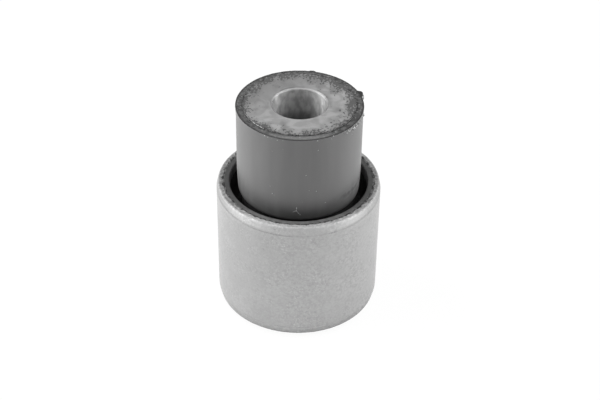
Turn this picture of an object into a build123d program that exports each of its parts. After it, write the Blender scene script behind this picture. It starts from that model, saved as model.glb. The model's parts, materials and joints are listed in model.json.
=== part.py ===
"""Bonded rubber-metal bush for a suspension eye.

A short steel sleeve is pressed into the eye. A longer, thick-walled steel tube runs through its
middle and is clamped by a bolt. One moulded rubber body is bonded to both: it lines the sleeve,
jackets the tube right up to its ends, and leaves a deep round-bottomed groove between the two at
each end of the sleeve, so that the tube can twist and tilt without tearing the bond. Inside the
upper groove the jacket turns under at a shoulder and carries on as a thinner neck.

The frame is in millimetres, with +Z along the bore. The origin is the centre of the tube's lower
end, which is the face that the bush stands on. The long end of the tube points up.
"""

from build123d import *
import os

# Outer sleeve: a length of thin tube with a lead-in taper at each end
SLEEVE_DIAMETER = 45.0
SLEEVE_WALL = 2.0
SLEEVE_LENGTH = 37.0
LEAD_IN_LENGTH = 2.5
LEAD_IN_DEPTH = 0.5
SLEEVE_RIM_ROUND = 0.3

# Inner tube: a length of thick tube that stands out of the sleeve at both ends
TUBE_DIAMETER = 30.0
BOLT_BORE = 14.5
BORE_CHAMFER = 0.5
TUBE_EDGE_ROUND = 0.3
LONG_END = 24.5
SHORT_END = 1.0

# Rubber body
JACKET_WALL = 1.85
NECK_WALL = 0.6
LINING_WALL = 1.6
LONG_GROOVE_DEPTH = 12.0
SHORT_GROOVE_DEPTH = 8.0
LIP_HEIGHT = 2.4
LIP_FLARE = 0.25
LIP_EDGE_ROUND = 0.3
FOOT_EDGE_ROUND = 0.3
LINING_EDGE_ROUND = 0.35
WAIST_HEIGHT = 4.5
WAIST_DEPTH = 0.3
SHOULDER_DROP = 1.5
SHOULDER_ROUND = 0.5

# Radii
SLEEVE_RADIUS = SLEEVE_DIAMETER / 2
SLEEVE_BORE_RADIUS = SLEEVE_RADIUS - SLEEVE_WALL
LINING_RADIUS = SLEEVE_BORE_RADIUS - LINING_WALL
TUBE_RADIUS = TUBE_DIAMETER / 2
BORE_RADIUS = BOLT_BORE / 2
JACKET_RADIUS = TUBE_RADIUS + JACKET_WALL
LIP_RADIUS = JACKET_RADIUS + LIP_FLARE
SHOULDER_RADIUS = JACKET_RADIUS - WAIST_DEPTH
NECK_RADIUS = TUBE_RADIUS + NECK_WALL

# Heights
SLEEVE_FOOT = SHORT_END
SLEEVE_TOP = SLEEVE_FOOT + SLEEVE_LENGTH
TUBE_LENGTH = SLEEVE_TOP + LONG_END
JACKET_FOOT = TUBE_EDGE_ROUND
JACKET_TOP = TUBE_LENGTH - TUBE_EDGE_ROUND


def corners(face, radius, *heights):
    """The corners of a flat section that lie at one radius and at any of the heights given."""
    return [
        corner
        for corner in face.vertices()
        if abs(corner.X - radius) < 1e-6 and any(abs(corner.Z - z) < 1e-6 for z in heights)
    ]


def turned(section, name):
    """The solid that a section in the XZ plane sweeps out in one turn about Z."""
    solid = revolve(section, axis=Axis.Z)
    solid.label = name
    return solid


def outer_sleeve():
    """Thin tube, tapered at both ends so that it starts square in its eye."""
    rim_radius = SLEEVE_RADIUS - LEAD_IN_DEPTH
    section = make_face(
        Polyline(
            (SLEEVE_BORE_RADIUS, 0, SLEEVE_FOOT),
            (rim_radius, 0, SLEEVE_FOOT),
            (SLEEVE_RADIUS, 0, SLEEVE_FOOT + LEAD_IN_LENGTH),
            (SLEEVE_RADIUS, 0, SLEEVE_TOP - LEAD_IN_LENGTH),
            (rim_radius, 0, SLEEVE_TOP),
            (SLEEVE_BORE_RADIUS, 0, SLEEVE_TOP),
            close=True,
        )
    )
    section = fillet(corners(section, rim_radius, SLEEVE_FOOT, SLEEVE_TOP), SLEEVE_RIM_ROUND)
    return turned(section, "outer_sleeve")


def inner_sleeve():
    """Thick tube with faced ends, a chamfered bore and rounded outer edges."""
    section = make_face(
        Polyline(
            (BORE_RADIUS, 0, 0),
            (TUBE_RADIUS, 0, 0),
            (TUBE_RADIUS, 0, TUBE_LENGTH),
            (BORE_RADIUS, 0, TUBE_LENGTH),
            close=True,
        )
    )
    section = chamfer(corners(section, BORE_RADIUS, 0, TUBE_LENGTH), BORE_CHAMFER)
    section = fillet(corners(section, TUBE_RADIUS, 0, TUBE_LENGTH), TUBE_EDGE_ROUND)
    return turned(section, "inner_sleeve")


def half_width(inner_radius):
    """Half the width of a groove between the lining and an inner wall of the given radius."""
    return (LINING_RADIUS - inner_radius) / 2


def groove_root(inner_radius, height, depth_sign):
    """Half-round root across a groove, from its inner wall to the lining, at the given height."""
    reach = half_width(inner_radius)
    return ThreePointArc(
        (inner_radius, 0, height),
        (inner_radius + reach, 0, height + depth_sign * reach),
        (LINING_RADIUS, 0, height),
    )


def rubber_body():
    """Lining, jacket and the web that joins them, moulded in one and bonded to both tubes."""
    upper_root = SLEEVE_TOP - LONG_GROOVE_DEPTH + half_width(NECK_RADIUS)
    lower_root = SLEEVE_FOOT + SHORT_GROOVE_DEPTH - half_width(JACKET_RADIUS)
    lip_start = JACKET_TOP - LIP_HEIGHT
    waist_start = SLEEVE_TOP + WAIST_HEIGHT
    shoulder = SLEEVE_TOP - SHOULDER_DROP
    neck_start = shoulder - (SHOULDER_RADIUS - NECK_RADIUS)
    outline = Curve() + [
        Line((TUBE_RADIUS, 0, JACKET_FOOT), (TUBE_RADIUS, 0, JACKET_TOP)),
        Line((TUBE_RADIUS, 0, JACKET_TOP), (LIP_RADIUS, 0, JACKET_TOP)),
        TangentArc((JACKET_RADIUS, 0, lip_start), (LIP_RADIUS, 0, JACKET_TOP), tangent=(0, 0, 1)),
        Line((JACKET_RADIUS, 0, lip_start), (JACKET_RADIUS, 0, waist_start)),
        TangentArc((JACKET_RADIUS, 0, waist_start), (SHOULDER_RADIUS, 0, shoulder), tangent=(0, 0, -1)),
        Line((SHOULDER_RADIUS, 0, shoulder), (NECK_RADIUS, 0, neck_start)),
        Line((NECK_RADIUS, 0, neck_start), (NECK_RADIUS, 0, upper_root)),
        groove_root(NECK_RADIUS, upper_root, -1),
        Line((LINING_RADIUS, 0, upper_root), (LINING_RADIUS, 0, SLEEVE_TOP)),
        Line((LINING_RADIUS, 0, SLEEVE_TOP), (SLEEVE_BORE_RADIUS, 0, SLEEVE_TOP)),
        Line((SLEEVE_BORE_RADIUS, 0, SLEEVE_TOP), (SLEEVE_BORE_RADIUS, 0, SLEEVE_FOOT)),
        Line((SLEEVE_BORE_RADIUS, 0, SLEEVE_FOOT), (LINING_RADIUS, 0, SLEEVE_FOOT)),
        Line((LINING_RADIUS, 0, SLEEVE_FOOT), (LINING_RADIUS, 0, lower_root)),
        groove_root(JACKET_RADIUS, lower_root, 1),
        Line((JACKET_RADIUS, 0, lower_root), (JACKET_RADIUS, 0, JACKET_FOOT)),
        Line((JACKET_RADIUS, 0, JACKET_FOOT), (TUBE_RADIUS, 0, JACKET_FOOT)),
    ]
    section = make_face(outline)
    section = fillet(corners(section, LINING_RADIUS, SLEEVE_FOOT, SLEEVE_TOP), LINING_EDGE_ROUND)
    section = fillet(corners(section, LIP_RADIUS, JACKET_TOP), LIP_EDGE_ROUND)
    section = fillet(corners(section, JACKET_RADIUS, JACKET_FOOT), FOOT_EDGE_ROUND)
    section = fillet(corners(section, SHOULDER_RADIUS, shoulder), SHOULDER_ROUND)
    section = fillet(corners(section, NECK_RADIUS, neck_start), SHOULDER_ROUND)
    return turned(section, "rubber_body")


os.makedirs("parts", exist_ok=True)
for piece in (outer_sleeve(), inner_sleeve(), rubber_body()):
    export_step(piece, f"parts/{piece.label}.step")
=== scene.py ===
"""Looks of the bonded rubber-metal bush: two steel tubes, the rubber moulded between them, and a stage."""

import json
import math

import bmesh
import bpy
from mathutils import Euler, Matrix, Vector, noise


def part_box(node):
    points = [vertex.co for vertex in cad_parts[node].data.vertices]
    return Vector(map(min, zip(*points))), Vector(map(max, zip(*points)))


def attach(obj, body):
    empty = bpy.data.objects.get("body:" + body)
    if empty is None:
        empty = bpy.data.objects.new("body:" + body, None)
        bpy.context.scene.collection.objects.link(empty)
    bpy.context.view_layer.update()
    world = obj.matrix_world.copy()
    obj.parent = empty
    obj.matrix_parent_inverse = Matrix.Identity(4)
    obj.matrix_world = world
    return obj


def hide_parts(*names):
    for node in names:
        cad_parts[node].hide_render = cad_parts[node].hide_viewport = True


bl_info = {
    "name": "Rubber-Metal Bush",
    "version": (1, 0, 0),
    "blender": (4, 5, 0),
    "location": "View3D > Sidebar > Bush",
    "description": "Builds the visible pieces of a bonded rubber-metal bush to the sizes of its solids",
    "category": "Object",
}

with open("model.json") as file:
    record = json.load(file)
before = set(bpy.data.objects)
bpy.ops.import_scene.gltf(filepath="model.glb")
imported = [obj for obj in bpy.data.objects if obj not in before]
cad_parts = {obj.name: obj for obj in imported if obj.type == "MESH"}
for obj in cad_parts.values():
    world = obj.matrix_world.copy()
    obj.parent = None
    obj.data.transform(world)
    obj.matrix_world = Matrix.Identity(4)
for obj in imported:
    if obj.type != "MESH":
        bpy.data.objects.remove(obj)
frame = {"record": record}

MM = 0.001
BODY = "root"
WHOLE_TURN = 2 * math.pi

# Edges that turn by less are shaded smooth
SMOOTH_BELOW = math.radians(40)

# Size of the cells that a ragged film is made of
FILM_CELL = 0.17 * MM

# Directions as seen from the front
ACROSS, BACK, UP = (1, 0, 0), (0, 1, 0), (0, 0, 1)

SLEEVE_LOW, SLEEVE_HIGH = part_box("outer_sleeve")
TUBE_LOW, TUBE_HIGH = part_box("inner_sleeve")
RUBBER_LOW, RUBBER_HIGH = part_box("rubber_body")
MOUNTS = {mount["name"]: mount for mount in frame["record"]["mounts"]}
SEAT_LENGTH = MOUNTS["press_seat"]["dims"]["length_mm"] * MM
SEAT_RADIUS = MOUNTS["press_seat"]["dims"]["r_mm"] * MM
BORE_RADIUS = MOUNTS["bolt_bore"]["dims"]["r_mm"] * MM
TUBE_RADIUS = round((TUBE_HIGH.x - TUBE_LOW.x) / 2, 5)
SLEEVE_BORE_RADIUS = round((RUBBER_HIGH.x - RUBBER_LOW.x) / 2, 5)

# Specks on the jacket: azimuth from the front to the right in degrees, height and radius in millimetres
SPECKS = (
    (-24, 57.7, 0.10), (-14, 59.0, 0.11), (-26, 46.4, 0.10), (-24, 44.3, 0.12), (-22, 43.9, 0.08),
    (6.5, 51.2, 0.10), (9.5, 46.3, 0.10), (16, 45.8, 0.12), (3.5, 42.6, 0.10), (25, 41.5, 0.10),
    (17, 58.7, 0.12), (25, 59.1, 0.10), (54, 59.6, 0.13), (72, 42.3, 0.14), (-31, 61.9, 0.13),
    (-28, 61.8, 0.10), (-24, 61.7, 0.12), (-19, 61.6, 0.12), (-14, 61.8, 0.09), (31, 62.1, 0.12),
    (29, 61.4, 0.10), (12, 61.9, 0.10), (16, 61.8, 0.14), (20, 61.6, 0.10), (43, 61.5, 0.16),
    (46, 61.2, 0.20), (48, 61.7, 0.22), (50, 61.3, 0.28), (52, 61.6, 0.34), (54, 61.2, 0.36),
    (56, 61.5, 0.36), (58, 61.0, 0.26), (60, 61.4, 0.32), (62, 61.0, 0.22), (64, 61.4, 0.28),
    (67, 61.0, 0.24), (70, 61.4, 0.24), (73, 61.0, 0.22), (76, 61.2, 0.26), (80, 60.9, 0.30),
    (84, 60.6, 0.26), (65, 60.3, 0.12),
)

# Lint and a short dark band on the jacket: azimuths in degrees and heights in millimetres
LINT_MIDDLE = (-1.7, 39.8)
LINT_ENDS = ((-1.2, 40.9), (-4.6, 39.3), (0.4, 38.9), (2.4, 38.3))
DARK_BAND_MIDDLE = (56, 40.9)
DARK_BAND_RADIUS = TUBE_RADIUS + 1.7 * MM

# Pale thread round part of the tube's upper edge, a painted highlight for the light that edge catches:
# azimuths in degrees
EDGE_HIGHLIGHT_AZIMUTHS = (-56, -51, -46, -41, -37)

# Flash nibs on the lip: azimuth in degrees, millimetres below the top, and share of the nib reach
NIBS = ((111, 0.4, 0.85), (107, 0.9, 0.75), (169, 0.2, 0.35))


# ---------------------------------------------------------------- settings


def length(name, description, millimetres):
    """A size setting with a default in millimetres."""
    return bpy.props.FloatProperty(
        name=name, description=description, default=millimetres * MM, unit="LENGTH", precision=5
    )


def colour(name, description, level):
    """A grey colour setting."""
    return bpy.props.FloatVectorProperty(
        name=name, description=description, default=(level, level, level), subtype="COLOR", min=0, max=1
    )


def angle(name, description, degrees):
    """An angle setting with a default in degrees."""
    return bpy.props.FloatProperty(
        name=name, description=description, default=math.radians(degrees), unit="ROTATION"
    )


def number(name, description, default):
    """A plain number setting."""
    return bpy.props.FloatProperty(name=name, description=description, default=default)


class SleeveSettings(bpy.types.PropertyGroup):
    """Sizes and colour of the outer sleeve."""

    rim_radius: length("Rim radius", "Outer radius at the ends, where the tapers finish", 22.0)
    rim_round: length("Rim round", "Round between each end face and its taper", 0.3)
    inner_break: length("Inner edge break", "Small flat on each inner edge", 0.12)
    swage_depth: length("Swage line depth", "Depth of the faint ring where each taper starts", 0.05)
    swage_width: length("Swage line width", "Height of that ring", 0.5)
    nick_depth: length("Nick depth", "How far the nicks along the rims reach", 0.09)
    zinc: colour("Zinc", "Colour of the matt zinc plating", 0.4)


class TubeSettings(bpy.types.PropertyGroup):
    """Sizes and colour of the inner tube."""

    bore_chamfer: length("Bore chamfer", "Worn chamfer at each end of the bore", 0.5)
    edge_round: length("Edge round", "Round on the outer edge of each end", 0.18)
    steel: colour("Steel", "Colour of the faced steel", 0.23)
    bore: colour("Bore", "Colour of the dull bore", 0.68)


class RubberSettings(bpy.types.PropertyGroup):
    """Sizes and colour of the rubber moulding."""

    jacket_radius: length("Jacket radius", "Outer radius of the jacket round the inner tube", 16.85)
    lip_radius: length("Lip radius", "Outer radius of the jacket's flared upper lip", 17.0)
    lip_height: length("Lip height", "Height over which the jacket flares", 2.4)
    lip_round: length("Lip round", "Round on the lip's outer edge", 0.18)
    lining_radius: length("Lining radius", "Inner radius of the lining inside the sleeve", 18.9)
    lining_round: length("Lining round", "Round on the lining's inner edges", 0.35)
    upper_groove: length("Upper groove", "Depth of the groove below the sleeve's upper rim", 12.0)
    lower_groove: length("Lower groove", "Depth of the groove above the sleeve's lower rim", 8.0)
    waist_height: length("Waist height", "How far above the sleeve the jacket starts to draw in", 4.5)
    waist_depth: length("Waist depth", "How far the jacket draws in down to its shoulder", 0.3)
    shoulder_drop: length("Shoulder drop", "How far below the sleeve's rim the jacket's shoulder lies", 1.5)
    shoulder_round: length("Shoulder round", "Round on the shoulder and in the corner under it", 0.5)
    neck_radius: length("Neck radius", "Outer radius of the rubber below the shoulder, in the groove", 15.6)
    nib_reach: length("Nib reach", "How far the flash nib stands out of the lip", 1.08)
    rubber: colour("Rubber", "Colour of the moulded rubber", 0.075)


class FlashSettings(bpy.types.PropertyGroup):
    """Sizes of the rubber film that the moulding left on the steel, and colour of the dust and of the painted
    edge highlight.
    """

    thickness: length("Film thickness", "Thickness of the rubber film on the steel faces", 0.04)
    rim_reach: length("Rim reach", "How far the film runs out over the sleeve's end faces", 0.5)
    dust: colour("Dust", "Colour of the dust and crumbs on the jacket", 0.6)


class StageSettings(bpy.types.PropertyGroup):
    """Camera, lights and floor."""

    lens: number("Lens", "Focal length in millimetres on a 36 mm wide sensor", 81.05)
    view_distance: length("View distance", "From the camera to the point it looks at", 374.2)
    view_elevation: angle("View elevation", "Angle of the camera above the floor", 36.93)
    view_roll: angle("View roll", "Turn of the camera about its own line of sight", 0.85)
    target_side: length("Target side", "How far the point looked at lies right of the bore's axis", 0.46)
    target_height: length("Target height", "Height of the point looked at", 30.67)
    left_power: number("Left lamp", "Power of the left soft lamp in watts", 5.3)
    right_power: number("Right lamp", "Power of the right soft lamp in watts", 3.8)
    top_power: number("Top lamp", "Power of the overhead soft lamp in watts", 0.5)
    room: number("Room light", "Strength of the even light from all round", 0.1)


# ---------------------------------------------------------------- modelling


def towards(azimuth, elevation=0):
    """Direction from the bush at an azimuth from the front, to the right, and an elevation, in degrees."""
    across, up = math.radians(azimuth), math.radians(elevation)
    return Vector((math.sin(across) * math.cos(up), -math.cos(across) * math.cos(up), math.sin(up)))


def on_bush(azimuth, radius, height):
    """Place at an azimuth in degrees from the front to the right, a radius and a height."""
    return towards(azimuth) * radius + Vector((0, 0, height))


def radius_of(place):
    """Distance of a place from the bore's axis."""
    return math.hypot(place.x, place.y)


def from_end(place, foot, top):
    """Height of a place above the foot or below the top, whichever is nearer."""
    return min(place.z - foot, top - place.z)


def to_object_mode():
    """Leaves edit mode and deselects everything."""
    if bpy.context.object and bpy.context.object.mode != "OBJECT":
        bpy.ops.object.mode_set(mode="OBJECT")
    bpy.ops.object.select_all(action="DESELECT")


def pick(kind, wanted):
    """In edit mode, selects only the vertices, edges or faces for which a test is true."""
    mesh = bmesh.from_edit_mesh(bpy.context.object.data)
    mesh.select_mode = {kind}
    groups = {"VERT": mesh.verts, "EDGE": mesh.edges, "FACE": mesh.faces}
    for group in groups.values():
        for part in group:
            part.select = False
    for part in groups[kind]:
        if wanted(part):
            part.select_set(True)
    bmesh.update_edit_mesh(bpy.context.object.data)


def at(point):
    """A test for a vertex at a point (radius, height) of the section."""
    place = Vector((point[0], 0, point[1]))
    return lambda vertex: (vertex.co - place).length < 1e-7


def draw_section(name, corners):
    """Starts a piece as the closed outline of its section, drawn corner by corner in the XZ plane."""
    to_object_mode()
    bpy.ops.mesh.primitive_plane_add(size=MM, location=(0, 0, 0))
    piece = bpy.context.object
    piece.name = piece.data.name = name
    bpy.ops.object.mode_set(mode="EDIT")
    bpy.ops.mesh.select_mode(type="VERT")
    bpy.ops.mesh.select_all(action="SELECT")
    bpy.ops.mesh.merge(type="CENTER")
    bpy.ops.transform.translate(value=(corners[0][0], 0, corners[0][1]))
    for here, there in zip(corners, corners[1:]):
        step = (there[0] - here[0], 0, there[1] - here[1])
        bpy.ops.mesh.extrude_vertices_move(TRANSFORM_OT_translate={"value": step})
    ends = (at(corners[0]), at(corners[-1]))
    pick("VERT", lambda vertex: any(test(vertex) for test in ends))
    bpy.ops.mesh.edge_face_add()
    return piece


def round_corners(corners, radius, steps):
    """Rounds corners of the drawn section."""
    tests = [at(corner) for corner in corners]
    pick("VERT", lambda vertex: any(test(vertex) for test in tests))
    bpy.ops.mesh.bevel(offset=radius, segments=steps, affect="VERTICES", clamp_overlap=False)


def divide_sides(longest, wanted=lambda edge: True):
    """Divides the sides of the section that meet a test and are longer than a limit."""
    def parts_of(edge):
        return math.ceil(edge.calc_length() / longest - 1e-6) if wanted(edge) else 1

    mesh = bmesh.from_edit_mesh(bpy.context.object.data)
    for parts in sorted({parts_of(edge) for edge in mesh.edges} - {1}, reverse=True):
        pick("EDGE", lambda edge: parts_of(edge) == parts)
        bpy.ops.mesh.subdivide(number_cuts=parts - 1)


def turn_section(steps):
    """Turns the drawn section once about Z into a closed body with its faces outwards."""
    piece = bpy.context.object
    bpy.ops.object.mode_set(mode="OBJECT")
    bpy.ops.object.transform_apply(location=True, rotation=True, scale=True)
    bpy.ops.object.modifier_add(type="SCREW")
    turn = piece.modifiers[-1]
    turn.angle = WHOLE_TURN
    turn.steps = turn.render_steps = steps
    turn.use_merge_vertices = True
    turn.merge_threshold = 1e-6
    bpy.ops.object.modifier_apply(modifier=turn.name)
    bpy.ops.object.mode_set(mode="EDIT")
    bpy.ops.mesh.select_all(action="SELECT")
    bpy.ops.mesh.normals_make_consistent(inside=False)
    bpy.ops.object.mode_set(mode="OBJECT")


def middle_of(edge):
    """Middle of an edge."""
    return (edge.verts[0].co + edge.verts[1].co) / 2


def weigh(piece, name, weight):
    """Adds a vertex group whose weights a function gives from each vertex's place."""
    group = piece.vertex_groups.new(name=name)
    for vertex in piece.data.vertices:
        value = weight(vertex.co)
        if value > 0:
            group.add([vertex.index], min(value, 1), "REPLACE")


def roughen(piece, name, weight, depth, grain_size):
    """Moves the vertices of one area in and out by a cloud pattern, and applies it."""
    weigh(piece, name, weight)
    clouds = bpy.data.textures.new(name, "CLOUDS")
    clouds.noise_scale = grain_size
    clouds.noise_depth = 3
    bpy.context.view_layer.objects.active = piece
    bpy.ops.object.modifier_add(type="DISPLACE")
    ripple = piece.modifiers[-1]
    ripple.texture = clouds
    ripple.texture_coords = "LOCAL"
    ripple.vertex_group = name
    ripple.strength = 2 * depth
    bpy.ops.object.modifier_apply(modifier=ripple.name)
    piece.vertex_groups.remove(piece.vertex_groups[name])
    bpy.data.textures.remove(clouds)


def finish_piece(piece, materials, replaces=()):
    """Shades a piece smooth, gives it its materials and lets it ride on the bush."""
    piece.data.materials.clear()
    for material in materials:
        piece.data.materials.append(material)
    to_object_mode()
    piece.select_set(True)
    bpy.context.view_layer.objects.active = piece
    bpy.ops.object.shade_smooth_by_angle(angle=SMOOTH_BELOW)
    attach(piece, BODY)
    if replaces:
        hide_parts(*replaces)


# ---------------------------------------------------------------- materials


def fill(tree, node, inputs):
    """Sets the inputs of a shader node, or links them where the value is another node's output."""
    for name, value in inputs.items():
        if isinstance(value, bpy.types.NodeSocket):
            tree.links.new(value, node.inputs[name])
        else:
            node.inputs[name].default_value = value


def put(tree, kind, inputs, **attributes):
    """Adds a shader node, sets its attributes and fills its inputs."""
    made = tree.nodes.new("ShaderNode" + kind)
    for name, value in attributes.items():
        setattr(made, name, value)
    fill(tree, made, inputs)
    return made


def new_finish(name):
    """A fresh material: its tree, its shader and its object coordinates."""
    material = bpy.data.materials.new(name)
    material.use_nodes = True
    tree = material.node_tree
    shader = tree.nodes["Principled BSDF"]
    place = put(tree, "TexCoord", {}).outputs["Object"]
    return material, tree, shader, place


def grain(tree, place, size, detail, stretch=(1, 1, 1), swirl=0.0):
    """A noise pattern, from 0 to 1, whose patches are about one size across."""
    if stretch != (1, 1, 1):
        place = put(tree, "Mapping", {"Vector": place, "Scale": stretch}).outputs["Vector"]
    inputs = {"Vector": place, "Scale": 1 / size, "Detail": detail, "Roughness": 0.5, "Distortion": swirl}
    return put(tree, "TexNoise", inputs).outputs["Fac"]


def spread(tree, value, low, high, to_low=0.0, to_high=1.0):
    """Maps a value between two limits, smoothly, to between two others."""
    inputs = {"Value": value, "From Min": low, "From Max": high, "To Min": to_low, "To Max": to_high}
    return put(tree, "MapRange", inputs, interpolation_type="SMOOTHSTEP").outputs["Result"]


def work(tree, operation, first, *others):
    """A sum, product or other operation, taken through two or more values in turn."""
    for other in others:
        first = put(tree, "Math", {0: first, 1: other}, operation=operation).outputs["Value"]
    return first


def apart(tree, first, second):
    """How far two values lie apart."""
    return work(tree, "ABSOLUTE", work(tree, "SUBTRACT", first, second), 0.0)


def between(tree, share, first, second):
    """A colour part-way between two others."""
    return put(tree, "Mix", {0: share, 6: first, 7: second}, data_type="RGBA").outputs[2]


def shade(tint, factor):
    """A setting's colour made lighter or darker, with full alpha."""
    return (*(min(channel * factor, 1) for channel in tint), 1)


def radius_from_axis(tree, place):
    """Distance from the bore's axis as a shader value."""
    flat = put(tree, "VectorMath", {0: place, 1: (1, 1, 0)}, operation="MULTIPLY").outputs["Vector"]
    return put(tree, "VectorMath", {0: flat}, operation="LENGTH").outputs["Value"]


def along(tree, place, direction):
    """Distance along a direction as a shader value."""
    return put(tree, "VectorMath", {0: place, 1: direction}, operation="DOT_PRODUCT").outputs["Value"]


def from_mid_height(tree, place, low, high):
    """Height above or below the middle of a piece as a shader value, and half the piece's height."""
    return apart(tree, along(tree, place, UP), (low.z + high.z) / 2), (high.z - low.z) / 2


def scratches(tree, place, size, width):
    """Thin curved lines, from 0 to 1, that come and go."""
    line = spread(tree, apart(tree, grain(tree, place, size, 1, swirl=1.0), 0.5), 0.0, width, 1.0, 0.0)
    return work(tree, "MULTIPLY", line, spread(tree, grain(tree, place, size * 1.3, 1), 0.55, 0.65))


def emboss(tree, shader, height, strength, distance):
    """Gives the shader relief from a height pattern; the strength may be a pattern too."""
    inputs = {"Height": height, "Strength": strength, "Distance": distance}
    fill(tree, shader, {"Normal": put(tree, "Bump", inputs).outputs["Normal"]})


def sleeve_shadow(tree, place, from_middle, patches):
    """Share of a darker tone on the sleeve: tapers, the rings where they start, foot and lower front."""
    height = along(tree, place, UP)
    side = apart(tree, along(tree, place, ACROSS), 0.0)
    front = spread(tree, side, 9.0 * MM, 18.0 * MM, 1.0, 0.25)
    lower_taper = spread(tree, height, SLEEVE_LOW.z + 2.2 * MM, SLEEVE_LOW.z + 2.6 * MM, 0.12, 0.0)
    upper_taper = work(
        tree, "MULTIPLY",
        spread(tree, side, 13.0 * MM, 21.0 * MM, 0.0, 0.33),
        spread(tree, height, SLEEVE_HIGH.z - 2.6 * MM, SLEEVE_HIGH.z - 2.4 * MM),
    )
    from_ring = apart(tree, from_middle, SEAT_LENGTH / 2)
    ring = work(
        tree, "MULTIPLY",
        spread(tree, from_ring, 0.08 * MM, 0.3 * MM, 0.3, 0.0),
        front,
        spread(tree, patches, 0.4, 0.55, 0.3, 1.0),
    )
    low = spread(tree, height, SLEEVE_LOW.z + 4.0 * MM, SLEEVE_LOW.z + 14.0 * MM, 0.1, 0.0)
    foot = spread(tree, height, SLEEVE_LOW.z + 0.2 * MM, SLEEVE_LOW.z + 0.7 * MM, 0.5, 0.0)
    return work(tree, "MAXIMUM", lower_taper, upper_taper, ring, work(tree, "MULTIPLY", low, front), foot)


def zinc_plate(tint):
    """Matt zinc: faint clouds, a fine mottle with pale flecks, hair scratches, and grey dirt on its ends."""
    material, tree, shader, place = new_finish("zinc_plate")
    patches = grain(tree, place, 5.0 * MM, 2)
    worked = spread(tree, grain(tree, place, 6.5 * MM, 1), 0.42, 0.58, 0.4, 0.9)
    mottle = grain(tree, place, 0.8 * MM, 3, swirl=0.6)
    pepper = grain(tree, place, 0.4 * MM, 2)
    from_middle, half = from_mid_height(tree, place, SLEEVE_LOW, SLEEVE_HIGH)
    end = spread(tree, from_middle, half - 0.4 * MM, half - 0.1 * MM)

    paler_side = spread(tree, along(tree, place, ACROSS), 3.0 * MM, 14.0 * MM, 0.0, 0.3)
    clouds = spread(tree, work(tree, "ADD", patches, paler_side), 0.3, 0.9)
    cloudy = between(tree, clouds, shade(tint, 0.97), shade(tint, 1.07))
    spots = work(tree, "MULTIPLY", spread(tree, mottle, 0.36, 0.56, 1.0, 0.0), worked)
    mottled = between(tree, spots, cloudy, shade(tint, 0.9))
    flecks = work(tree, "MULTIPLY", spread(tree, pepper, 0.58, 0.7), worked)
    flecked = between(tree, flecks, mottled, shade(tint, 1.3))
    shadowed = between(tree, sleeve_shadow(tree, place, from_middle, patches), flecked, shade(tint, 0.2))
    hairlines = work(tree, "MULTIPLY", scratches(tree, place, 3.0 * MM, 0.012), 0.5)
    scratched = between(tree, hairlines, shadowed, shade(tint, 0.6))
    dirt = work(
        tree, "MULTIPLY",
        end,
        spread(tree, radius_from_axis(tree, place), 21.4 * MM, 21.9 * MM, 1.0, 0.45),
        spread(tree, grain(tree, place, 0.9 * MM, 2), 0.36, 0.6, 0.1, 0.75),
        spread(tree, along(tree, place, BACK), -21 * MM, -10 * MM, 0.4, 1.0),
    )
    dull = work(tree, "MULTIPLY", end, 0.22)
    fill(tree, shader, {
        "Base Color": between(tree, dirt, scratched, shade(tint, 0.35)),
        "Roughness": work(tree, "ADD", spread(tree, mottle, 0.3, 0.7, 0.62, 0.5), dull),
        "Metallic": 1.0,
        "Specular Tint": (0.85, 0.85, 0.85, 1),
    })
    relief = work(tree, "MAXIMUM", work(tree, "MULTIPLY", worked, 0.2), work(tree, "MULTIPLY", end, 0.6))
    emboss(tree, shader, work(tree, "ADD", mottle, pepper), relief, 0.03 * MM)
    return material


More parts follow.
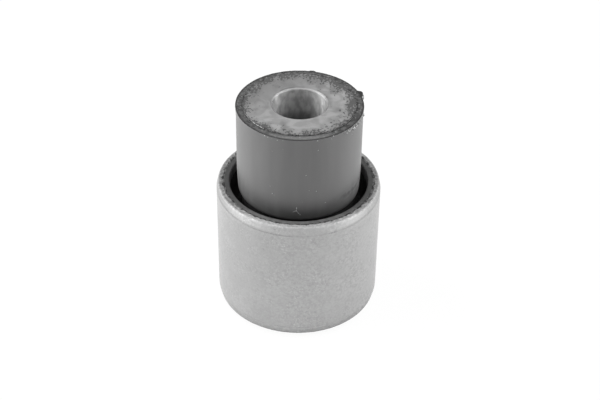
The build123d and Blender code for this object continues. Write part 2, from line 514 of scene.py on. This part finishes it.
def faced_steel(tint):
    """Turned end face: dull rings and smears, soot and marks towards the rubber, a brighter chamfer with
    painted shade over its front half, and a thin arc of painted shade behind the chamfer.
    """
    material, tree, shader, place = new_finish("faced_steel")
    from_axis = radius_from_axis(tree, place)
    side, back = along(tree, place, ACROSS), along(tree, place, BACK)
    smear = grain(tree, place, 4.0 * MM, 2, swirl=1.5)
    marks = grain(tree, place, 0.6 * MM, 3, stretch=(1, 0.65, 1))
    clumps = grain(tree, place, 3.0 * MM, 1, stretch=(1, 0.7, 1))
    turning = {"Vector": place, "Scale": 900.0, "Distortion": 2.0, "Detail": 1.0}
    rings = put(tree, "TexWave", turning, wave_type="RINGS", rings_direction="Z").outputs["Fac"]

    plain = between(tree, spread(tree, smear, 0.35, 0.65), shade(tint, 0.85), shade(tint, 1.1))
    far_left = spread(tree, along(tree, place, (-0.6, 0.8, 0)), -2.0 * MM, 12.0 * MM, 0.0, 0.7)
    darkened = between(tree, far_left, plain, shade(tint, 0.5))
    crowd = work(
        tree, "ADD",
        spread(tree, from_axis, 10.0 * MM, 15.0 * MM, -0.13, 0.15),
        spread(tree, side, -12 * MM, 12 * MM, -0.01, 0.05),
        spread(tree, back, -14 * MM, 4 * MM, -0.06, 0.02),
    )
    soot = spread(tree, work(tree, "ADD", clumps, crowd), 0.36, 0.68, 0.0, 0.62)
    sooty = between(tree, soot, darkened, shade(tint, 0.4))
    crowded_marks = work(tree, "ADD", marks, crowd, work(tree, "MULTIPLY", clumps, 0.45))
    dark = spread(tree, crowded_marks, 0.79, 0.89)
    marked = between(tree, dark, sooty, shade(tint, 0.24))

    chamfer = spread(tree, from_axis, BORE_RADIUS + 0.4 * MM, BORE_RADIUS + 0.55 * MM, 1.0, 0.0)
    brightened = between(tree, chamfer, marked, shade(tint, 1.1))
    # Painted shade on the chamfer, strongest over its front half
    chamfer_front_shade = work(tree, "MULTIPLY", chamfer, spread(tree, back, 0.0, 5.0 * MM, 0.5, 0.0))
    # Painted shade: a thin broken dark arc just outside the chamfer, at the back, standing in for the shade
    # of a rounded edge there
    from_painted_edge_line = apart(tree, from_axis, BORE_RADIUS + 0.8 * MM)
    painted_edge_line = work(
        tree, "MULTIPLY",
        spread(tree, from_painted_edge_line, 0.05 * MM, 0.22 * MM, 0.7, 0.0),
        spread(tree, back, 5.0 * MM, 6.5 * MM),
        spread(tree, clumps, 0.4, 0.5),
    )
    edged = between(tree, work(tree, "MAXIMUM", chamfer_front_shade, painted_edge_line), brightened, shade(tint, 0.3))
    worn = spread(tree, from_axis, BORE_RADIUS, BORE_RADIUS + 0.6 * MM, 0.2, 0.0)
    fill(tree, shader, {
        "Base Color": edged,
        "Roughness": work(tree, "ADD", spread(tree, dark, 0.0, 1.0, 0.5, 0.7), worn),
        "Metallic": spread(tree, chamfer, 0.0, 1.0, 0.4, 1.0),
    })
    emboss(tree, shader, work(tree, "ADD", rings, smear), 0.12, 0.03 * MM)
    return material


def drawn_steel(tint):
    """Bore of drawn tube: dull metal with faint streaks, and painted shade deep inside, at the back and at
    its sides.
    """
    material, tree, shader, place = new_finish("drawn_steel")
    streaks = grain(tree, place, 1.2 * MM, 3, stretch=(1, 1, 0.5))
    tone = between(tree, spread(tree, streaks, 0.35, 0.65), shade(tint, 0.75), shade(tint, 1.15))
    from_middle, half = from_mid_height(tree, place, TUBE_LOW, TUBE_HIGH)
    side = along(tree, place, ACROSS)
    # Painted shade: darker deep inside the bore and at its back, less so towards its right, and darker near
    # its left and right edges
    deep = spread(tree, from_middle, half - 11.0 * MM, half, 0.9, 0.0)
    back = spread(tree, along(tree, place, BACK), 0.0, BORE_RADIUS, 0.0, 0.6)
    paler_side = spread(tree, side, 0.3 * BORE_RADIUS, 0.9 * BORE_RADIUS, 1.0, 0.5)
    edges = spread(tree, apart(tree, side, 0.0), 0.8 * BORE_RADIUS, 0.98 * BORE_RADIUS, 0.0, 0.65)
    inside = work(tree, "MULTIPLY", work(tree, "MAXIMUM", deep, back), paler_side)
    fill(tree, shader, {
        "Base Color": between(tree, work(tree, "MAXIMUM", inside, edges), tone, shade(tint, 0.07)),
        "Metallic": 0.35,
        "Roughness": 0.55,
    })
    emboss(tree, shader, grain(tree, place, 0.6 * MM, 2), 0.2, 0.03 * MM)
    return material


def dark_band_share(tree, place):
    """Share of a short level dark band on the jacket, which is broken up and tapers at both ends."""
    azimuth, height = DARK_BAND_MIDDLE
    middle = on_bush(azimuth, DARK_BAND_RADIUS, height * MM)
    from_centre = put(tree, "VectorMath", {0: place, 1: middle}, operation="DISTANCE").outputs["Value"]
    breaks = spread(tree, grain(tree, place, 1.6 * MM, 2), 0.3, 0.7, 0.0, 0.7 * MM)
    from_line = work(tree, "ADD", apart(tree, along(tree, place, UP), middle.z), breaks)
    return work(
        tree, "MULTIPLY",
        spread(tree, from_centre, 2.5 * MM, 5.6 * MM, 1.0, 0.0),
        spread(tree, from_line, 0.3 * MM, 1.4 * MM, 1.0, 0.0),
    )


def satin_rubber(tint):
    """Moulded rubber skin: satin, with faint upright streaks, a very fine grain and one short dark band."""
    material, tree, shader, place = new_finish("satin_rubber")
    streaks = grain(tree, place, 2.2 * MM, 3, stretch=(1, 1, 0.12))
    pores = grain(tree, place, 0.35 * MM, 2)
    skin = between(tree, spread(tree, streaks, 0.3, 0.7), shade(tint, 0.92), shade(tint, 1.08))
    dark_band = dark_band_share(tree, place)
    satin = spread(tree, streaks, 0.3, 0.7, 0.42, 0.5)
    fill(tree, shader, {
        "Base Color": between(tree, dark_band, skin, shade(tint, 0.2)),
        "Roughness": work(tree, "ADD", satin, work(tree, "MULTIPLY", dark_band, 0.4)),
        "Specular IOR Level": 1.0,
    })
    emboss(tree, shader, pores, 0.2, 0.03 * MM)
    return material


def groove_shade_rubber(tint):
    """Rubber inside the grooves: dull, and darkened as painted shade."""
    material, tree, shader, place = new_finish("groove_shade_rubber")
    blotch = spread(tree, grain(tree, place, 2.0 * MM, 2), 0.3, 0.7)
    # Painted shade: the groove rubber's colour is darkened
    fill(tree, shader, {
        "Base Color": between(tree, blotch, shade(tint, 0.4), shade(tint, 0.55)),
        "Roughness": 0.7,
        "Specular IOR Level": 0.15,
    })
    return material


def end_rubber(tint):
    """Rubber on the lip's end face: blotched, with lighter specks, paler in front and dark at its edge."""
    material, tree, shader, place = new_finish("end_rubber")
    blotch = grain(tree, place, 1.3 * MM, 3)
    specks = grain(tree, place, 0.6 * MM, 2)
    tone = between(tree, spread(tree, blotch, 0.35, 0.65), shade(tint, 0.35), shade(tint, 0.95))
    speckled = between(tree, spread(tree, specks, 0.56, 0.7, 0.0, 0.8), tone, shade(tint, 2.2))
    front = spread(tree, along(tree, place, BACK), -17 * MM, -12 * MM, 0.6, 0.0)
    paler = between(tree, front, speckled, shade(tint, 2.5))
    edge = spread(tree, radius_from_axis(tree, place), 16.1 * MM, 17.0 * MM, 0.0, 0.95)
    fill(tree, shader, {
        "Base Color": between(tree, edge, paler, shade(tint, 0.08)),
        "Roughness": 0.65,
        "Specular IOR Level": 0.2,
    })
    emboss(tree, shader, work(tree, "ADD", blotch, specks), 0.5, 0.1 * MM)
    return material


def lining_rubber(tint):
    """Rubber on the lining's end faces: mid grey with soft blotches, with painted shade away from the front.
    """
    material, tree, shader, place = new_finish("lining_rubber")
    blotch = grain(tree, place, 1.6 * MM, 2)
    tone = between(tree, spread(tree, blotch, 0.35, 0.65), shade(tint, 0.9), shade(tint, 1.4))
    # Painted shade: darker away from the front
    away = spread(tree, along(tree, place, BACK), -18 * MM, -6 * MM, 0.0, 0.8)
    fill(tree, shader, {
        "Base Color": between(tree, away, tone, shade(tint, 0.3)),
        "Roughness": 0.55,
        "Specular IOR Level": 0.4,
    })
    emboss(tree, shader, blotch, 0.2, 0.05 * MM)
    return material


def pale_dust_and_edge_highlight(tint):
    """Dry pale dust and crumbs, some darker than others; also the pale thread painted as a highlight on the
    steel's edge.
    """
    material, tree, shader, place = new_finish("pale_dust_and_edge_highlight")
    tone = spread(tree, grain(tree, place, 0.7 * MM, 2), 0.4, 0.6)
    fill(tree, shader, {
        "Base Color": between(tree, tone, shade(tint, 0.3), shade(tint, 0.9)),
        "Roughness": 0.9,
    })
    return material


def torn_rubber(tint):
    """Thin torn rubber film: dull, and blotched in lighter and darker grey."""
    material, tree, shader, place = new_finish("torn_rubber")
    blotch = grain(tree, place, 0.8 * MM, 3, stretch=(1, 0.7, 1))
    fill(tree, shader, {
        "Base Color": between(tree, spread(tree, blotch, 0.4, 0.62), shade(tint, 0.2), shade(tint, 1.5)),
        "Roughness": 0.75,
        "Specular IOR Level": 0.25,
    })
    emboss(tree, shader, blotch, 0.4, 0.08 * MM)
    return material


def pale_floor():
    """A pale floor that glows white but for a faint shadow; in reflections its glow fades near the bush's
    foot as painted shade.
    """
    material, tree, shader, place = new_finish("pale_floor")
    fill(tree, shader, {"Base Color": (0.9, 0.9, 0.9, 1), "Roughness": 0.9, "Specular IOR Level": 0.0})
    path = put(tree, "LightPath", {})
    mirrored = work(tree, "MAXIMUM", path.outputs["Is Glossy Ray"], path.outputs["Is Transmission Ray"])
    # Painted shade: reflections see less glow near the bush's foot
    glow_faded_near_bush = spread(tree, radius_from_axis(tree, place), 20 * MM, 44 * MM, 0.05, 0.78)
    seen = work(tree, "MULTIPLY", path.outputs["Is Camera Ray"], 0.95)
    share = work(tree, "MAXIMUM", seen, work(tree, "MULTIPLY", mirrored, glow_faded_near_bush))
    glow = put(tree, "Emission", {"Color": (1, 1, 1, 1), "Strength": 1.0}).outputs["Emission"]
    mixed = put(tree, "MixShader", {0: share, 1: shader.outputs["BSDF"], 2: glow}).outputs["Shader"]
    fill(tree, tree.nodes["Material Output"], {"Surface": mixed})
    return material


# ---------------------------------------------------------------- pieces


class BUSH_OT_outer_sleeve(bpy.types.Operator):
    """Build the thin steel outer sleeve with its tapers and nicked rims"""

    bl_idname = "bush.outer_sleeve"
    bl_label = "Outer Sleeve"

    def execute(self, context):
        sizes = context.scene.bush_sleeve
        foot, top = SLEEVE_LOW.z, SLEEVE_HIGH.z
        taper_foot, taper_top = (foot + top - SEAT_LENGTH) / 2, (foot + top + SEAT_LENGTH) / 2
        lower_rim, upper_rim = (sizes.rim_radius, foot), (sizes.rim_radius, top)
        lower_inner, upper_inner = (SLEEVE_BORE_RADIUS, foot), (SLEEVE_BORE_RADIUS, top)
        swage = []
        for middle, inwards in ((taper_foot, 1), (taper_top, -1)):
            swage.append((SEAT_RADIUS - 0.4 * sizes.swage_depth, middle - inwards * sizes.swage_width))
            swage.append((SEAT_RADIUS - sizes.swage_depth, middle))
            swage.append((SEAT_RADIUS, middle + inwards * sizes.swage_width))
        corners = [lower_inner, lower_rim, *swage[:3], *reversed(swage[3:]), upper_rim, upper_inner]
        piece = draw_section("outer_sleeve_steel", corners)
        round_corners([lower_rim, upper_rim], sizes.rim_round, 4)
        round_corners([lower_inner, upper_inner], sizes.inner_break, 1)
        divide_sides(0.15 * MM, lambda edge: from_end(middle_of(edge), foot, top) < 0.5 * MM)
        divide_sides(0.5 * MM, lambda edge: radius_of(middle_of(edge)) > sizes.rim_radius)
        turn_section(steps=512)

        def rim(place):
            outer = radius_of(place) > SLEEVE_BORE_RADIUS + sizes.inner_break / 2
            return 1 - from_end(place, foot, top) / (0.6 * MM) if outer else 0

        roughen(piece, "rim", rim, depth=sizes.nick_depth / 2, grain_size=0.8 * MM)
        finish_piece(piece, [zinc_plate(sizes.zinc)], ["outer_sleeve"])
        return {"FINISHED"}


class BUSH_OT_inner_tube(bpy.types.Operator):
    """Build the thick steel inner tube with its chamfered bore"""

    bl_idname = "bush.inner_tube"
    bl_label = "Inner Tube"

    def execute(self, context):
        sizes = context.scene.bush_tube
        film = context.scene.bush_flash.thickness
        foot, top = TUBE_LOW.z + film, TUBE_HIGH.z - film
        bore = [(BORE_RADIUS, foot), (BORE_RADIUS, top)]
        edge = [(TUBE_RADIUS, foot), (TUBE_RADIUS, top)]
        piece = draw_section("inner_tube_steel", [bore[0], edge[0], edge[1], bore[1]])
        round_corners(bore, sizes.bore_chamfer, 3)
        round_corners(edge, sizes.edge_round, 4)
        divide_sides(0.4 * MM, lambda edge: radius_of(middle_of(edge)) > BORE_RADIUS + sizes.bore_chamfer)
        turn_section(steps=384)

        def mouth(place):
            near_bore = radius_of(place) - BORE_RADIUS < 0.6 * MM
            return 1 - from_end(place, foot, top) / (0.5 * MM) if near_bore else 0

        roughen(piece, "mouth", mouth, depth=0.05 * MM, grain_size=2.0 * MM)
        finishes = [faced_steel(sizes.steel), drawn_steel(sizes.bore)]
        finish_piece(piece, finishes, ["inner_sleeve"])
        for face in piece.data.polygons:
            if radius_of(face.center) < BORE_RADIUS + sizes.bore_chamfer and abs(face.normal.z) < 0.3:
                face.material_index = 1
        return {"FINISHED"}


def pull_nib(sizes, top):
    """Pulls a two-lobed flash nib and a smaller bump out of the lip, where the mould parts."""
    bpy.ops.object.mode_set(mode="EDIT")
    for azimuth, drop, share in NIBS:
        root = on_bush(azimuth, sizes.lip_radius, top - drop * MM)
        pick("VERT", lambda vertex: (vertex.co - root).length < 0.5 * MM)
        bpy.ops.transform.translate(
            value=towards(azimuth) * sizes.nib_reach * share,
            use_proportional_edit=True,
            proportional_edit_falloff="SMOOTH",
            proportional_size=0.8 * MM,
        )
    bpy.ops.object.mode_set(mode="OBJECT")


class BUSH_OT_rubber_body(bpy.types.Operator):
    """Build the rubber moulding: lining, jacket, lip and the grooves between them"""

    bl_idname = "bush.rubber_body"
    bl_label = "Rubber Body"

    def execute(self, context):
        sizes = context.scene.bush_rubber
        foot, top = RUBBER_LOW.z, RUBBER_HIGH.z
        sleeve_foot, sleeve_top = SLEEVE_LOW.z, SLEEVE_HIGH.z
        jacket, neck, lining = sizes.jacket_radius, sizes.neck_radius, sizes.lining_radius
        jacket_foot = (jacket, foot)
        lip, lip_start = (sizes.lip_radius, top), (jacket, top - sizes.lip_height)
        waist = (jacket, sleeve_top + sizes.waist_height)
        shoulder = (jacket - sizes.waist_depth, sleeve_top - sizes.shoulder_drop)
        # The shoulder turns under at 45 degrees
        under = (neck, shoulder[1] - (shoulder[0] - neck))
        upper_floor, lower_floor = sleeve_top - sizes.upper_groove, sleeve_foot + sizes.lower_groove
        upper_roots = [(neck, upper_floor), (lining, upper_floor)]
        lower_roots = [(lining, lower_floor), (jacket, lower_floor)]
        edges = [(lining, sleeve_top), (lining, sleeve_foot)]
        corners = [
            (TUBE_RADIUS, foot), (TUBE_RADIUS, top), lip, lip_start, waist, shoulder, under, *upper_roots,
            edges[0], (SLEEVE_BORE_RADIUS, sleeve_top), (SLEEVE_BORE_RADIUS, sleeve_foot), edges[1],
            *lower_roots, jacket_foot,
        ]
        piece = draw_section("rubber_moulding", corners)
        round_corners([lip, jacket_foot], sizes.lip_round, 5)
        round_corners([lip_start], sizes.lip_height / 3, 6)
        round_corners([waist], sizes.waist_height / 2, 8)
        round_corners([shoulder, under], sizes.shoulder_round, 5)
        round_corners(edges, sizes.lining_round, 5)
        # A hair under half the groove's width, so that the two rounds of a root don't meet
        round_corners(upper_roots, (lining - neck) / 2 * 0.999, 8)
        round_corners(lower_roots, (lining - jacket) / 2 * 0.999, 8)

        def on_flare(edge):
            middle = middle_of(edge)
            return middle.z > top - 2.5 * MM and middle.x > TUBE_RADIUS

        divide_sides(0.2 * MM, lambda edge: middle_of(edge).z > top - 0.5 * MM)
        divide_sides(0.3 * MM, on_flare)
        divide_sides(3.0 * MM)
        turn_section(steps=512)

        def near_top(place):
            return 1 - (top - place.z) / (0.7 * MM)

        roughen(piece, "lip", near_top, depth=0.05 * MM, grain_size=0.9 * MM)
        pull_nib(sizes, top)

        def finish_of(face):
            height = face.center.z
            if face.normal.z > 0.6 and height > top - 0.25 * MM:
                return end_rubber
            at_rim = from_end(face.center, sleeve_foot, sleeve_top) <= 0.2 * MM
            if abs(face.normal.z) > 0.5 and radius_of(face.center) > lining and at_rim:
                return lining_rubber
            # Faces in the grooves below the shoulder get painted shade
            if sleeve_foot + 1.0 * MM < height < shoulder[1] - 0.2 * MM:
                return groove_shade_rubber
            return satin_rubber

        finishes = (satin_rubber, end_rubber, lining_rubber, groove_shade_rubber)
        finish_piece(piece, [make(sizes.rubber) for make in finishes], ["rubber_body"])
        for face in piece.data.polygons:
            face.material_index = finishes.index(finish_of(face))
        return {"FINISHED"}


def ragged_film(name, inner, outer, height, upwards, thickness, cover):
    """A thin ragged film on a ring-shaped face: a fine ring of cells, less those left bare by a function."""
    to_object_mode()
    count = round(WHOLE_TURN * (inner + outer) / 2 / FILM_CELL)
    bpy.ops.mesh.primitive_circle_add(vertices=count, radius=inner, location=(0, 0, 0))
    piece = bpy.context.object
    piece.name = piece.data.name = name
    bpy.ops.object.mode_set(mode="EDIT")
    bpy.ops.mesh.select_all(action="SELECT")
    rings = max(round((outer - inner) / FILM_CELL), 1)
    for ring in range(rings):
        growth = (inner + (ring + 1) * (outer - inner) / rings) / (inner + ring * (outer - inner) / rings)
        bpy.ops.mesh.extrude_edges_move()
        bpy.ops.transform.resize(value=(growth, growth, 1), center_override=(0, 0, 0))
    pick("FACE", lambda face: not cover(face.calc_center_median()))
    bpy.ops.mesh.delete(type="FACE")
    bpy.ops.mesh.select_all(action="SELECT")
    bpy.ops.mesh.delete_loose()
    bpy.ops.mesh.select_all(action="SELECT")
    bpy.ops.mesh.vertices_smooth(factor=0.5, repeat=3, zaxis=False)
    bpy.ops.transform.translate(value=(0, 0, height))
    bpy.ops.mesh.normals_make_consistent(inside=not upwards)
    bpy.ops.object.mode_set(mode="OBJECT")
    bpy.ops.object.modifier_add(type="SOLIDIFY")
    skin = piece.modifiers[-1]
    skin.thickness = thickness
    skin.offset = 1.0
    bpy.ops.object.modifier_apply(modifier=skin.name)
    return piece


def film_both_ends(context, name, inner, outer, ends, cover):
    """Lays the ragged film on the upper and the lower end face of a piece, at the two heights given."""
    thickness = context.scene.bush_flash.thickness
    for side, height, upwards in zip(("upper", "lower"), ends, (True, False)):
        piece = ragged_film(f"{side}_{name}", inner, outer, height, upwards, thickness, cover)
        finish_piece(piece, [torn_rubber(context.scene.bush_rubber.rubber)])


def patchy(place, size, seed):
    """A noise value near 0 that changes over patches of one size, with one finer layer over it."""
    return noise.fractal(Vector((place.x, place.y, 0)) / size + Vector((0, 0, seed)), 0.9, 2.1, 2)


class BUSH_OT_rim_flash(bpy.types.Operator):
    """Spread the ragged rubber flash over the inner part of the sleeve's end faces"""

    bl_idname = "bush.rim_flash"
    bl_label = "Rim Flash"

    def execute(self, context):
        rim_reach = context.scene.bush_flash.rim_reach
        inner, outer = SLEEVE_BORE_RADIUS - 0.3 * MM, context.scene.bush_sleeve.rim_radius - 0.15 * MM

        def cover(place):
            front = max(0.0, math.cos(math.atan2(place.x, -place.y)))
            reach = SLEEVE_BORE_RADIUS + rim_reach * (1 - 0.6 * front)
            return patchy(place, 1.2 * MM, seed=3) * 0.5 * MM + reach > radius_of(place)

        film_both_ends(context, "rim_flash", inner, outer, (SLEEVE_HIGH.z, SLEEVE_LOW.z), cover)
        return {"FINISHED"}


class BUSH_OT_face_film(bpy.types.Operator):
    """Run a ragged film of rubber from the jacket over the outer edge of the inner tube's end faces"""

    bl_idname = "bush.face_film"
    bl_label = "Face Film"

    def execute(self, context):
        thickness = context.scene.bush_flash.thickness
        inner, outer = TUBE_RADIUS - 2.0 * MM, TUBE_RADIUS + 0.1 * MM

        def cover(place):
            ragged = radius_of(place) + patchy(place, 0.7 * MM, seed=8) * 0.5 * MM
            return ragged > TUBE_RADIUS - 0.25 * MM

        steel_faces = (TUBE_HIGH.z - thickness, TUBE_LOW.z + thickness)
        film_both_ends(context, "face_film", inner, outer, steel_faces, cover)
        return {"FINISHED"}


def speck(place, radius, turns):
    """A small flattened lump at a place, turned its own way."""
    bpy.ops.mesh.primitive_ico_sphere_add(subdivisions=1, radius=radius, location=place)
    made = bpy.context.object
    made.rotation_euler = Euler(turns)
    made.scale = (1.0, 1.5, 0.7)
    return made


def thread(start, finish, radius):
    """A straight thread between two places."""
    run = finish - start
    bpy.ops.mesh.primitive_cylinder_add(vertices=6, radius=radius, depth=run.length)
    made = bpy.context.object
    made.location = (start + finish) / 2
    made.rotation_euler = run.to_track_quat("Z", "Y").to_euler()
    return made


def join_parts(parts, name):
    """Joins parts into one piece that has its place in its mesh."""
    to_object_mode()
    for part in parts:
        part.select_set(True)
    bpy.context.view_layer.objects.active = parts[0]
    bpy.ops.object.join()
    bpy.ops.object.transform_apply(location=True, rotation=True, scale=True)
    piece = bpy.context.object
    piece.name = piece.data.name = name
    return piece


class BUSH_OT_dust(bpy.types.Operator):
    """Drop dust, crumbs of flash and a scrap of lint on the jacket, and lay a pale thread on the steel's edge
    as a painted highlight
    """

    bl_idname = "bush.dust"
    bl_label = "Dust"

    def execute(self, context):
        sizes = context.scene.bush_rubber
        lip_start = RUBBER_HIGH.z - sizes.lip_height

        def on_jacket(azimuth, millimetres):
            height = millimetres * MM
            flare = max(height - lip_start, 0) / sizes.lip_height
            radius = sizes.jacket_radius + flare * (sizes.lip_radius - sizes.jacket_radius)
            return on_bush(azimuth, radius, height)

        to_object_mode()
        parts = [
            speck(on_jacket(azimuth, height), radius * MM, turns=(azimuth, height, radius * 10))
            for azimuth, height, radius in SPECKS
        ]
        parts += [thread(on_jacket(*LINT_MIDDLE), on_jacket(*end), radius=0.045 * MM) for end in LINT_ENDS]
        # A pale thread along the tube's upper edge: a painted highlight
        painted_edge_line = [on_bush(azimuth, TUBE_RADIUS + 0.07 * MM, TUBE_HIGH.z - 0.1 * MM) for azimuth in EDGE_HIGHLIGHT_AZIMUTHS]
        parts += [thread(start, finish, radius=0.08 * MM) for start, finish in zip(painted_edge_line, painted_edge_line[1:])]
        piece = join_parts(parts, "jacket_dust_and_edge_highlight")
        finish_piece(piece, [pale_dust_and_edge_highlight(context.scene.bush_flash.dust)])
        return {"FINISHED"}


class BUSH_OT_stage(bpy.types.Operator):
    """Set up the pale floor, the soft lamps and the camera"""

    bl_idname = "bush.stage"
    bl_label = "Stage"

    def execute(self, context):
        stage = context.scene.bush_stage
        to_object_mode()
        bpy.ops.mesh.primitive_plane_add(size=6.0, location=(0, 0, 0))
        floor = bpy.context.object
        floor.name = "floor"
        floor.data.materials.append(pale_floor())
        centre = Vector((0, 0, stage.target_height))
        soft_lamp("left_lamp", stage.left_power, centre, azimuth=-97, elevation=28, distance=0.45, size=0.55)
        soft_lamp("right_lamp", stage.right_power, centre, azimuth=97, elevation=28, distance=0.45, size=0.55)
        soft_lamp("top_lamp", stage.top_power, centre, azimuth=10, elevation=75, distance=0.6, size=0.6)
        light_room(context.scene, stage.room)
        place_camera(context.scene, stage)
        context.scene.view_settings.view_transform = "Standard"
        return {"FINISHED"}


def soft_lamp(name, power, centre, azimuth, elevation, distance, size):
    """A square area lamp that faces the bush."""
    direction = towards(azimuth, elevation)
    bpy.ops.object.light_add(type="AREA", location=centre + direction * distance)
    lamp = bpy.context.object
    lamp.name = name
    lamp.rotation_euler = direction.to_track_quat("Z", "Y").to_euler()
    lamp.data.energy = power
    lamp.data.size = size


def light_room(scene, strength):
    """Even light from all round, which the camera and reflections see as white."""
    world = bpy.data.worlds.new("room")
    world.use_nodes = True
    tree = world.node_tree
    path = put(tree, "LightPath", {})
    rays = (path.outputs[f"Is {kind} Ray"] for kind in ("Camera", "Glossy", "Transmission"))
    level = spread(tree, work(tree, "MAXIMUM", *rays), 0.0, 1.0, strength, 1.0)
    fill(tree, tree.nodes["Background"], {"Color": (1, 1, 1, 1), "Strength": level})
    scene.world = world


def place_camera(scene, stage):
    """Puts the camera at its distance and elevation, looking at its target, with its slight roll."""
    target = Vector((stage.target_side, 0, stage.target_height))
    place = target + towards(0, math.degrees(stage.view_elevation)) * stage.view_distance
    bpy.ops.object.camera_add(location=place)
    camera = bpy.context.object
    camera.name = "camera"
    tilt = Euler((math.pi / 2 - stage.view_elevation, 0, 0)).to_matrix().to_4x4()
    roll = Matrix.Rotation(stage.view_roll, 4, "Z")
    camera.matrix_world = Matrix.Translation(place) @ tilt @ roll
    camera.data.lens = stage.lens
    camera.data.clip_start = 0.01
    scene.camera = camera


class BUSH_PT_pieces(bpy.types.Panel):
    """Sidebar list of the bush's pieces and its stage"""

    bl_label = "Rubber-Metal Bush"
    bl_idname = "BUSH_PT_pieces"
    bl_space_type = "VIEW_3D"
    bl_region_type = "UI"
    bl_category = "Bush"

    def draw(self, context):
        for operator in OPERATORS:
            self.layout.operator(operator.bl_idname)


SETTINGS = {
    "bush_sleeve": SleeveSettings,
    "bush_tube": TubeSettings,
    "bush_rubber": RubberSettings,
    "bush_flash": FlashSettings,
    "bush_stage": StageSettings,
}
OPERATORS = (
    BUSH_OT_outer_sleeve,
    BUSH_OT_inner_tube,
    BUSH_OT_rubber_body,
    BUSH_OT_rim_flash,
    BUSH_OT_face_film,
    BUSH_OT_dust,
    BUSH_OT_stage,
)


def register():
    """Registers the settings, the operators and the panel."""
    for name, group in SETTINGS.items():
        bpy.utils.register_class(group)
        setattr(bpy.types.Scene, name, bpy.props.PointerProperty(type=group))
    for operator in OPERATORS:
        bpy.utils.register_class(operator)
    bpy.utils.register_class(BUSH_PT_pieces)


def unregister():
    """Takes all that back, in the opposite order."""
    bpy.utils.unregister_class(BUSH_PT_pieces)
    for operator in reversed(OPERATORS):
        bpy.utils.unregister_class(operator)
    for name, group in reversed(SETTINGS.items()):
        delattr(bpy.types.Scene, name)
        bpy.utils.unregister_class(group)


def main():
    """Registers everything and builds the bush and its stage."""
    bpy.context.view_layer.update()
    register()
    bpy.ops.bush.outer_sleeve()
    bpy.ops.bush.inner_tube()
    bpy.ops.bush.rubber_body()
    bpy.ops.bush.rim_flash()
    bpy.ops.bush.face_film()
    bpy.ops.bush.dust()
    bpy.ops.bush.stage()


if __name__ == "__main__":
    main()
